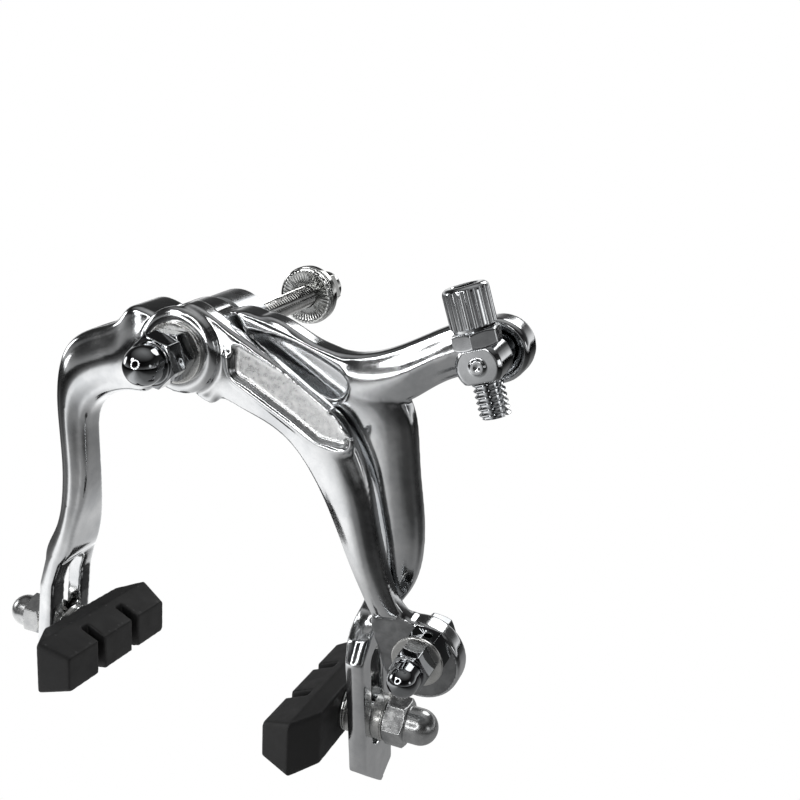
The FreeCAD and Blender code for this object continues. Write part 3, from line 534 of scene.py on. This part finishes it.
def turned(name, profile, steps=TURNING_STEPS):
    """Closed solid turned about Z from a profile of radius and height, in millimetres."""
    clear_selection()
    mesh = bpy.data.meshes.new(name)
    points = [(radius * MM, 0.0, height * MM) for radius, height in profile]
    mesh.from_pydata(points, [(i, i + 1) for i in range(len(points) - 1)], [])
    piece = bpy.data.objects.new(name, mesh)
    bpy.context.scene.collection.objects.link(piece)
    screw = piece.modifiers.new("turning", "SCREW")
    screw.axis = "Z"
    screw.steps = screw.render_steps = steps
    screw.use_merge_vertices = True
    screw.merge_threshold = WELD * MM
    apply_all(piece)
    bpy.ops.object.mode_set(mode="EDIT")
    bpy.ops.mesh.select_all(action="SELECT")
    bpy.ops.mesh.remove_doubles(threshold=TURNING_WELD * MM)
    bpy.ops.mesh.normals_make_consistent(inside=False)
    bpy.ops.object.mode_set(mode="OBJECT")
    return piece


def join(piece, others):
    """Takes other pieces into a piece, as they are."""
    make_active(piece)
    for other in others:
        other.select_set(True)
    bpy.ops.object.join()


def combine(piece, tool, operation):
    """Joins, cuts or intersects a piece with a tool, which is used up."""
    modifier = piece.modifiers.new("shaping", "BOOLEAN")
    modifier.operation = operation
    modifier.solver = "EXACT"
    modifier.object = tool
    apply_all(piece)
    bpy.data.objects.remove(tool, do_unlink=True)


def dome_profile(radius, start, end):
    """Profile of a round neck with a ball end, from its axis back to its axis."""
    rows = [(0.0, start), (radius, start)]
    for step in range(DOME_STEPS + 1):
        turn = math.radians(90 * step / DOME_STEPS)
        width = radius * math.cos(turn) if step < DOME_STEPS else 0.0
        rows.append((width, end + radius * math.sin(turn)))
    return rows


def make_nut(name, flats, length, neck_radius, neck_end, domed, bore=None):
    """Hexagonal nut along Z: turned corners, and a round neck or dome where it has one."""
    clear_selection()
    corner = flats / math.sqrt(3)
    rim = corner + CORNER_ROOM
    drop = (corner - flats / 2) * CORNER_SLOPE
    bpy.ops.mesh.primitive_cylinder_add(vertices=6, radius=corner * MM, depth=length * MM)
    nut = bpy.context.object
    nut.name = nut.data.name = name
    nut.data.transform(Matrix.Translation((0, 0, length / 2 * MM))
                       @ Matrix.Rotation(math.radians(30), 4, "Z"))
    corners = turned("corners", [
        (0, 0), (flats / 2, 0), (rim, drop), (rim, length - drop), (flats / 2, length), (0, length)])
    combine(nut, corners, "INTERSECT")
    if neck_radius:
        start = length - CROWN_OVERLAP
        if domed:
            profile = dome_profile(neck_radius, start, neck_end)
        else:
            rounding = [(neck_radius - inward, neck_end - below) for inward, below in CROWN_ROUNDING]
            profile = [(0, start), (neck_radius, start), *rounding, (0, neck_end)]
        combine(nut, turned("crown", profile), "UNION")
    if bore:
        hole = turned("bore", [(0, -1), (bore, -1), (bore, length + 1), (0, length + 1)])
        combine(nut, hole, "DIFFERENCE")
    return nut


def lay(piece, origin, direction, turn=0.0):
    """Lays a piece made along Z from an origin along a direction."""
    lean = Vector((0, 0, 1)).rotation_difference(Vector(direction)).to_matrix().to_4x4()
    spin = Matrix.Rotation(math.radians(turn), 4, "Z")
    piece.data.transform(Matrix.Translation(origin) @ lean @ spin)


def prism(name, corners, front, back):
    """Closed block with an outline in X and Z, from one depth behind the front face to another."""
    clear_selection()
    count = len(corners)
    points = [(x * MM, (FRONT_FACE + depth) * MM, z * MM) for depth in (front, back) for x, z in corners]
    walls = [(i, (i + 1) % count, count + (i + 1) % count, count + i) for i in range(count)]
    mesh = bpy.data.meshes.new(name)
    mesh.from_pydata(points, [], [range(count), range(count, 2 * count), *walls])
    block = bpy.data.objects.new(name, mesh)
    bpy.context.scene.collection.objects.link(block)
    make_active(block)
    bpy.ops.object.mode_set(mode="EDIT")
    bpy.ops.mesh.select_all(action="SELECT")
    bpy.ops.mesh.normals_make_consistent(inside=False)
    bpy.ops.object.mode_set(mode="OBJECT")
    return block


def inside(x, z, corners):
    """Whether a place lies inside a polygon."""
    found = False
    for (ax, az), (bx, bz) in zip(corners, corners[1:] + corners[:1]):
        if (az > z) != (bz > z) and x < (bx - ax) * (z - az) / (bz - az) + ax:
            found = not found
    return found


def settle(piece, node):
    """Gives a piece its finish and puts it in its node's place and on its body."""
    piece.data.materials.clear()
    piece.data.materials.append(finish_of(node))
    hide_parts(node)
    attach(piece, body_of(node))


def finish_faces(piece, material, outline, depth, reach, facing):
    """Gives a finish to the faces inside an outline, within reach of a depth, that face forward enough."""
    piece.data.materials.append(material)
    index = len(piece.data.materials) - 1
    for face in piece.data.polygons:
        x, y, z = (value / MM for value in face.center)
        if abs(y - FRONT_FACE - depth) < reach and face.normal.y < -facing and inside(x, z, outline):
            face.material_index = index


def barrel_axis():
    """Direction of the adjuster barrel, up through its head."""
    lean = math.radians(BARREL_TILT)
    return Vector((-math.sin(lean), 0, math.cos(lean)))


class BrakeSizes(bpy.types.PropertyGroup):
    """Sizes that decide how fine each skin is and how round its edges are."""
    arm_grain: bpy.props.FloatProperty(
        name="Arm grain", description="Size of the arms' skin cells", default=0.4 * MM,
        min=0.2 * MM, max=2 * MM, unit="LENGTH", precision=5)
    arm_rub: bpy.props.IntProperty(
        name="Arm rub", description="Passes that round the arms' edges", default=9, min=0, max=60)
    nut_grain: bpy.props.FloatProperty(
        name="Nut grain", description="Size of the nuts' and washers' skin cells", default=0.14 * MM,
        min=0.08 * MM, max=1 * MM, unit="LENGTH", precision=5)
    nut_rub: bpy.props.IntProperty(
        name="Nut rub", description="Passes that round the nuts' and washers' edges", default=3,
        min=0, max=30)
    bead_radius: bpy.props.FloatProperty(
        name="Bead radius", description="Radius of the bead beside the front arm's pocket",
        default=0.8 * MM, min=0.2 * MM, max=2 * MM, unit="LENGTH", precision=5)
    shoe_grain: bpy.props.FloatProperty(
        name="Shoe grain", description="Size of the rubber shoes' skin cells", default=0.28 * MM,
        min=0.1 * MM, max=1 * MM, unit="LENGTH", precision=5)
    shoe_rub: bpy.props.IntProperty(
        name="Shoe rub", description="Passes that round the shoes' edges", default=10, min=0, max=60)
    washer_edge: bpy.props.FloatProperty(
        name="Washer edge", description="Width of the washers' broken edges", default=0.12 * MM,
        min=0, max=1 * MM, unit="LENGTH", precision=5)
    bolt_pitch: bpy.props.FloatProperty(
        name="Bolt pitch", description="Thread pitch of the centre bolt", default=1.25 * MM,
        min=0.5 * MM, max=2 * MM, unit="LENGTH", precision=5)
    barrel_pitch: bpy.props.FloatProperty(
        name="Barrel pitch", description="Thread pitch of the adjuster barrel", default=1.25 * MM,
        min=0.5 * MM, max=2 * MM, unit="LENGTH", precision=5)


def bead_beside_pocket(radius):
    """Round bead that follows the lower side and both ends of the front arm's pocket."""
    clear_selection()
    path = bpy.data.curves.new("pocket_bead", "CURVE")
    path.dimensions = "3D"
    path.bevel_depth = radius
    path.bevel_resolution = BEAD_STEPS_AROUND
    path.use_fill_caps = True
    path.resolution_u = BEAD_STEPS_ALONG
    spline = path.splines.new("NURBS")
    spline.points.add(len(BEAD) - 1)
    for point, (x, z) in zip(spline.points, BEAD):
        point.co = (x * MM, (FRONT_FACE + BEAD_DEPTH) * MM, z * MM, 1.0)
    spline.order_u = 3
    spline.use_endpoint_u = True
    bead = bpy.data.objects.new("pocket_bead", path)
    bpy.context.scene.collection.objects.link(bead)
    make_active(bead)
    bpy.ops.object.convert(target="MESH")
    return bpy.context.object


def swivel_bore():
    """Cutter that leaves room for the swivel's collar and shank in the end of the rear arm."""
    bore = turned("swivel_bore", [
        (0, -2), (RECESS_RADIUS, -2), (RECESS_RADIUS, RECESS_DEPTH), (SHANK_BORE_RADIUS, RECESS_DEPTH),
        (SHANK_BORE_RADIUS, END_BOSS_LENGTH), (0, END_BOSS_LENGTH)])
    mouth = Vector((BARREL_CENTRE[0], FRONT_FACE + END_BOSS_FRONT, BARREL_CENTRE[2]))
    lay(bore, mouth * MM, (0, 1, 0))
    return bore


class BRAKE_OT_arms(bpy.types.Operator):
    """Skins both forged arms, rounds their edges like buffed metal, and finishes pocket and lug"""
    bl_idname = "brake.arms"
    bl_label = "Forged arms"

    def execute(self, context):
        sizes = context.scene.brake_sizes
        front = welded_copy("front_arm", "polished_front_arm")
        combine(front, prism("lug_cut", LUG_CUT, LUG_FRONT - LUG_CLEARING, LUG_FRONT), "DIFFERENCE")
        bead = bead_beside_pocket(sizes.bead_radius)
        web = prism("lug_web", LUG_WEB, LUG_FRONT, LUG_FRONT + WEB_THICKNESS)
        join(front, [bead, web])
        buff(front, sizes.arm_grain, sizes.arm_rub)
        settle(front, "front_arm")
        finish_faces(front, blasted_aluminium(), POCKET, POCKET_DEPTH, reach=0.35, facing=0.8)
        finish_faces(front, lug_aluminium(), LUG_FACE, LUG_FRONT, reach=0.25, facing=0.93)
        rear = welded_copy("rear_arm", "polished_rear_arm")
        buff(rear, sizes.arm_grain, sizes.arm_rub)
        combine(rear, swivel_bore(), "DIFFERENCE")
        settle(rear, "rear_arm")
        return {"FINISHED"}


class BRAKE_OT_nuts(bpy.types.Operator):
    """Makes the acorn nuts and plain nuts, with turned corners and rubbed edges"""
    bl_idname = "brake.nuts"
    bl_label = "Nuts"

    def execute(self, context):
        sizes = context.scene.brake_sizes
        for node, (direction, turn, flats, length, neck_radius, neck_end, domed) in NUTS.items():
            nut = make_nut("turned_" + node, flats, length, neck_radius, neck_end, domed)
            low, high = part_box(node)
            middle = (low + high) / 2
            half = (high - low) / 2
            seat = middle - Vector([d * h for d, h in zip(direction, half)])
            lay(nut, seat, direction, turn)
            buff(nut, sizes.nut_grain, sizes.nut_rub)
            settle(nut, node)
        nut = make_nut("turned_adjuster_lock_nut", LOCK_NUT_FLATS, LOCK_NUT_LENGTH, 0, 0, False,
                       LOCK_NUT_BORE)
        seat = Vector(BARREL_CENTRE) + barrel_axis() * SWIVEL_FLAT
        lay(nut, seat * MM, barrel_axis(), LOCK_NUT_TURN)
        buff(nut, sizes.nut_grain, sizes.nut_rub)
        settle(nut, "adjuster_lock_nut")
        return {"FINISHED"}


class BRAKE_OT_small_parts(bpy.types.Operator):
    """Breaks the edges of the anchor, the studs, the block and the seat ring"""
    bl_idname = "brake.small_parts"
    bl_label = "Small parts"

    def execute(self, context):
        sizes = context.scene.brake_sizes
        for node in BROKEN_EDGES:
            piece = welded_copy(node, "finished_" + node)
            break_edges(piece, sizes.washer_edge)
            settle(piece, node)
        return {"FINISHED"}


class BRAKE_OT_washers(bpy.types.Operator):
    """Skins the washers and the swivel finely, and smooths the toothed washer and the spring"""
    bl_idname = "brake.washers"
    bl_label = "Washers and spring"

    def execute(self, context):
        sizes = context.scene.brake_sizes
        for node in FINE_SKINS:
            piece = welded_copy(node, "finished_" + node)
            buff(piece, sizes.nut_grain, sizes.nut_rub)
            settle(piece, node)
        for node, angle in SMOOTHED.items():
            piece = welded_copy(node, "finished_" + node)
            make_active(piece)
            bpy.ops.object.shade_smooth_by_angle(angle=math.radians(angle))
            settle(piece, node)
        return {"FINISHED"}


class BRAKE_OT_shoes(bpy.types.Operator):
    """Skins the moulded rubber shoes with softly broken edges"""
    bl_idname = "brake.shoes"
    bl_label = "Brake shoes"

    def execute(self, context):
        sizes = context.scene.brake_sizes
        for node in ("left_shoe", "right_shoe"):
            piece = welded_copy(node, "moulded_" + node)
            buff(piece, sizes.shoe_grain, sizes.shoe_rub)
            settle(piece, node)
        return {"FINISHED"}


def threaded_rod(name, major, minor, pitch, start, end):
    """Closed rod along Z with a helical thread; it is wound past both ends and cut there."""
    clear_selection()
    turns = int(math.ceil((end - start) / pitch)) + THREAD_SPARE_TURNS
    mesh = bpy.data.meshes.new(name)
    lowest = start - THREAD_RUN_IN * pitch
    points = [(minor + (major - minor) * rise, 0.0, lowest + share * pitch) for share, rise in THREAD]
    mesh.from_pydata(points, [(i, i + 1) for i in range(len(points) - 1)], [])
    rod = bpy.data.objects.new(name, mesh)
    bpy.context.scene.collection.objects.link(rod)
    screw = rod.modifiers.new("thread", "SCREW")
    screw.axis = "Z"
    screw.angle = math.tau
    screw.screw_offset = pitch
    screw.iterations = turns
    screw.steps = screw.render_steps = THREAD_STEPS
    screw.use_merge_vertices = True
    screw.merge_threshold = THREAD_WELD * MM
    screw.use_normal_calculate = True
    apply_all(rod)
    bpy.ops.object.mode_set(mode="EDIT")
    bpy.ops.mesh.select_all(action="SELECT")
    bpy.ops.mesh.remove_doubles(threshold=WELD * MM)
    for height, direction in ((start, -1), (end, 1)):
        bpy.ops.mesh.select_all(action="SELECT")
        bpy.ops.mesh.bisect(plane_co=(0, 0, height), plane_no=(0, 0, direction), use_fill=True,
                            clear_outer=True, threshold=THREAD_CUT * MM)
    bpy.ops.mesh.select_all(action="SELECT")
    bpy.ops.mesh.normals_make_consistent(inside=False)
    bpy.ops.object.mode_set(mode="OBJECT")
    bpy.ops.object.shade_smooth_by_angle(angle=math.radians(SHARP_THREAD))
    return rod


class BRAKE_OT_centre_bolt(bpy.types.Operator):
    """Rolls the thread along the centre bolt"""
    bl_idname = "brake.centre_bolt"
    bl_label = "Centre bolt"

    def execute(self, context):
        sizes = context.scene.brake_sizes
        low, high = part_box("centre_bolt")
        radius = (high.x - low.x) / 2
        root = radius - BOLT_THREAD_DEPTH * sizes.bolt_pitch
        rod = threaded_rod("threaded_centre_bolt", radius, root, sizes.bolt_pitch, low.y, high.y)
        rod.data.transform(Matrix.Rotation(math.radians(-90), 4, "X"))
        settle(rod, "centre_bolt")
        return {"FINISHED"}


def fluted_head():
    """Collar and fluted head of the barrel along Z, with the housing's socket and the cable's hole."""
    foot = BARREL_NECK + COLLAR_LENGTH
    top = foot + HEAD_LENGTH
    start = BARREL_NECK - BARREL_OVERLAP
    floor = top - SOCKET_DEPTH
    head = turned("fluted_adjuster_barrel", [
        (CABLE_HOLE_RADIUS, start), (BARREL_RADIUS, start), (BARREL_RADIUS, BARREL_NECK),
        (COLLAR_RADIUS, BARREL_NECK), (COLLAR_RADIUS, foot), (HEAD_RADIUS - HEAD_CHAMFER, foot),
        (HEAD_RADIUS, foot + HEAD_CHAMFER),
        *((HEAD_RADIUS - inward, top - below) for inward, below in HEAD_ROUNDING),
        (SOCKET_RADIUS + SOCKET_CHAMFER, top), (SOCKET_RADIUS, top - SOCKET_CHAMFER), (SOCKET_RADIUS, floor),
        (CABLE_HOLE_RADIUS, floor), (CABLE_HOLE_RADIUS, start)])
    clear_selection()
    bpy.ops.mesh.primitive_cylinder_add(vertices=FLUTE_STEPS, radius=FLUTE_RADIUS * MM,
                                        depth=FLUTE_LENGTH * MM)
    cutter = bpy.context.object
    middle = Vector((HEAD_RADIUS + FLUTE_OFFSET, 0, BARREL_NECK + FLUTE_START + FLUTE_LENGTH / 2))
    cutter.data.transform(Matrix.Translation(middle * MM))
    bpy.ops.object.empty_add(rotation=(0, 0, math.tau / FLUTES))
    step = bpy.context.object
    row = cutter.modifiers.new("row", "ARRAY")
    row.count = FLUTES
    row.use_relative_offset = False
    row.use_object_offset = True
    row.offset_object = step
    apply_all(cutter)
    bpy.data.objects.remove(step, do_unlink=True)
    combine(head, cutter, "DIFFERENCE")
    break_edges(head, HEAD_EDGE * MM)
    return head


def slit_tail(pitch):
    """Threaded tail of the barrel along Z, bored for the cable and slit on one side."""
    root = BARREL_RADIUS * MM - BARREL_THREAD_DEPTH * pitch
    tail = threaded_rod("barrel_tail", BARREL_RADIUS * MM, root, pitch, -BARREL_TAIL * MM,
                        (BARREL_NECK + HEAD_CHAMFER) * MM)
    reach = CABLE_HOLE_REACH
    bore = turned("bore", [
        (0, -reach), (CABLE_HOLE_RADIUS, -reach), (CABLE_HOLE_RADIUS, reach), (0, reach)], BORE_STEPS)
    combine(tail, bore, "DIFFERENCE")
    clear_selection()
    bpy.ops.mesh.primitive_cube_add(size=1.0)
    slit = bpy.context.object
    slit.data.transform(Matrix.Rotation(math.radians(SLIT_TURN), 4, "Z")
                        @ Matrix.Translation(Vector(SLIT_PLACE) * MM)
                        @ Matrix.Diagonal((*(size * MM for size in SLIT_SIZE), 1)))
    combine(tail, slit, "DIFFERENCE")
    return tail


class BRAKE_OT_barrel(bpy.types.Operator):
    """Turns the adjuster barrel: fluted head, cable socket, and a slit threaded tail"""
    bl_idname = "brake.barrel"
    bl_label = "Adjuster barrel"

    def execute(self, context):
        barrel = fluted_head()
        join(barrel, [slit_tail(context.scene.brake_sizes.barrel_pitch)])
        lay(barrel, Vector(BARREL_CENTRE) * MM, barrel_axis())
        bpy.ops.object.shade_smooth_by_angle(angle=math.radians(SHARP_BARREL))
        settle(barrel, "adjuster_barrel")
        return {"FINISHED"}


def shader_for_ray(tree, kind, shader, other):
    """Shader that gives way to another one for a kind of ray."""
    rays = add_node(tree, "ShaderNodeLightPath")
    mix = add_node(tree, "ShaderNodeMixShader", None, {"Fac": rays.outputs[kind]})
    tree.links.new(other, mix.inputs[1])
    tree.links.new(shader, mix.inputs[2])
    return mix.outputs["Shader"]


def multiplied(tree, first, second):
    """One colour times another."""
    settings = {"data_type": "RGBA", "blend_type": "MULTIPLY"}
    mix = add_node(tree, "ShaderNodeMix", settings, {"Factor": 1.0})
    tree.links.new(first, mix.inputs[6])
    tree.links.new(second, mix.inputs[7])
    return mix.outputs[2]


def studio_floor():
    """White to the camera and pale to the lamps; in the metal it shows bright cards that fade outward."""
    material, tree, output = new_material("pale_studio_floor")
    place = add_node(tree, "ShaderNodeTexCoord").outputs["Object"]
    reach = add_node(tree, "ShaderNodeVectorMath", {"operation": "LENGTH"}, {"Vector": place})
    falloff = add_node(tree, "ShaderNodeMapRange", None,
                       {"Value": reach.outputs["Value"], "From Min": CARD_FADE[0], "From Max": CARD_FADE[1],
                        "To Min": 1.0, "To Max": CARD_FAR_LEVEL})
    split = add_node(tree, "ShaderNodeSeparateXYZ", None, {"Vector": place})
    across = add_node(tree, "ShaderNodeMapRange", None,
                      {"Value": split.outputs["X"], "From Min": -CARD_REACH, "From Max": CARD_REACH})
    cards = add_node(tree, "ShaderNodeValToRGB", None, {"Fac": across.outputs["Result"]})
    set_ramp(cards, FLOOR_CARDS)
    level = multiplied(tree, cards.outputs["Color"], falloff.outputs["Result"])
    pale = add_node(tree, "ShaderNodeBsdfDiffuse", None, {"Color": hex_colour("F2F2F2")})
    sheet = add_node(tree, "ShaderNodeEmission", None, {"Color": level, "Strength": CARD_LEVEL})
    white = add_node(tree, "ShaderNodeEmission", None, {"Color": hex_colour("FFFFFF"), "Strength": 1.0})
    unseen = shader_for_ray(tree, "Is Glossy Ray", sheet.outputs["Emission"], pale.outputs["BSDF"])
    surface = shader_for_ray(tree, "Is Camera Ray", white.outputs["Emission"], unseen)
    tree.links.new(surface, output.inputs["Surface"])
    return material


def studio_world():
    """White to the camera and an even fill; in the metal a bright horizon under a dark room."""
    world = bpy.data.worlds.new("white_studio")
    world.use_nodes = True
    tree = world.node_tree
    tree.nodes.clear()
    direction = add_node(tree, "ShaderNodeTexCoord").outputs["Generated"]
    split = add_node(tree, "ShaderNodeSeparateXYZ", None, {"Vector": direction})
    height = add_node(tree, "ShaderNodeMapRange", None,
                      {"Value": split.outputs["Z"], "From Min": -1.0, "From Max": 1.0})
    rise = add_node(tree, "ShaderNodeValToRGB", None, {"Fac": height.outputs["Result"]})
    set_ramp(rise, ROOM_LEVELS)
    backward = add_node(tree, "ShaderNodeMapRange", None,
                        {"Value": split.outputs["Y"], "From Min": ROOM_DEPTH[0], "From Max": ROOM_DEPTH[1],
                         "To Min": ROOM_FRONT_LEVEL, "To Max": 1.0})
    room = multiplied(tree, rise.outputs["Color"], backward.outputs["Result"])
    mirror = add_node(tree, "ShaderNodeBackground", None, {"Color": room, "Strength": 1.0})
    fill = add_node(tree, "ShaderNodeBackground", None,
                    {"Color": hex_colour("F4F4F4"), "Strength": FILL_LEVEL})
    white = add_node(tree, "ShaderNodeBackground", None, {"Color": hex_colour("FFFFFF"), "Strength": 1.0})
    unseen = shader_for_ray(tree, "Is Glossy Ray", mirror.outputs["Background"], fill.outputs["Background"])
    surface = shader_for_ray(tree, "Is Camera Ray", white.outputs["Background"], unseen)
    output = add_node(tree, "ShaderNodeOutputWorld")
    tree.links.new(surface, output.inputs["Surface"])
    return world


def ring_lamps():
    """Rows for the ring of small lamps, like those of the lamp table."""
    rows = []
    for step in range(RING_LAMPS):
        turn = math.tau * step / RING_LAMPS
        aside = math.sin(math.radians(RING_TURN + RING_SPREAD * math.sin(turn)))
        place = (RING_DISTANCE * aside, -RING_DISTANCE, RING_HEIGHT + RING_RISE * math.cos(turn))
        rows.append(("ring_lamp_" + str(step + 1), place, RING_LAMP_SIZE, RING_LAMP_POWER))
    return rows


class BRAKE_OT_stage(bpy.types.Operator):
    """Pale floor, soft lamps, the studio around them and the camera"""
    bl_idname = "brake.stage"
    bl_label = "Stage"

    def execute(self, context):
        clear_selection()
        bpy.ops.mesh.primitive_plane_add(size=FLOOR_SIZE, location=(0, 0, 0))
        floor = context.object
        floor.name = "pale_floor"
        floor.data.name = "pale_floor"
        floor.data.transform(Matrix.Translation((0, 0, cad_low.z - FLOOR_DROP * MM)))
        floor.data.materials.append(studio_floor())

        centre = (cad_low + cad_high) / 2
        for name, place, size, power in (*LAMPS, *ring_lamps()):
            bpy.ops.object.light_add(type="AREA", location=Vector(place))
            lamp = context.object
            lamp.name = name
            lamp.data.shape = "DISK"
            lamp.data.size = size
            lamp.data.energy = power
            lamp.rotation_euler = (centre - Vector(place)).to_track_quat("-Z", "Y").to_euler()
        context.scene.world = studio_world()

        bpy.ops.object.camera_add(location=CAMERA_PLACE)
        camera = context.object
        camera.name = "photograph_camera"
        turn = (Matrix.Rotation(math.radians(CAMERA_AZIMUTH), 4, "Z")
                @ Matrix.Rotation(math.radians(90 - CAMERA_ELEVATION), 4, "X")
                @ Matrix.Rotation(math.radians(CAMERA_ROLL), 4, "Z"))
        camera.rotation_euler = turn.to_euler()
        camera.data.lens = CAMERA_LENS
        camera.data.sensor_width = CAMERA_SENSOR
        camera.data.shift_x = CAMERA_SHIFT
        camera.data.shift_y = CAMERA_SHIFT
        camera.data.clip_start = CAMERA_CLIP[0]
        camera.data.clip_end = CAMERA_CLIP[1]
        context.scene.camera = camera
        context.scene.view_settings.view_transform = "Standard"
        return {"FINISHED"}


class BRAKE_PT_panel(bpy.types.Panel):
    """Lists the brake's pieces and their sizes"""
    bl_label = "Side-pull brake"
    bl_idname = "BRAKE_PT_panel"
    bl_space_type = "VIEW_3D"
    bl_region_type = "UI"
    bl_category = "Brake"

    def draw(self, context):
        for name in BrakeSizes.__annotations__:
            self.layout.prop(context.scene.brake_sizes, name)
        for operator in OPERATORS:
            self.layout.operator(operator.bl_idname)


OPERATORS = (BRAKE_OT_arms, BRAKE_OT_nuts, BRAKE_OT_small_parts, BRAKE_OT_washers, BRAKE_OT_shoes,
             BRAKE_OT_centre_bolt, BRAKE_OT_barrel, BRAKE_OT_stage)
CLASSES = (BrakeSizes, *OPERATORS, BRAKE_PT_panel)


def register():
    for kind in CLASSES:
        bpy.utils.register_class(kind)
    bpy.types.Scene.brake_sizes = bpy.props.PointerProperty(type=BrakeSizes)


def unregister():
    del bpy.types.Scene.brake_sizes
    for kind in reversed(CLASSES):
        bpy.utils.unregister_class(kind)


def main():
    register()
    bpy.ops.brake.arms()
    bpy.ops.brake.nuts()
    bpy.ops.brake.small_parts()
    bpy.ops.brake.washers()
    bpy.ops.brake.shoes()
    bpy.ops.brake.centre_bolt()
    bpy.ops.brake.barrel()
    bpy.ops.brake.stage()


if __name__ == "__main__":
    main()
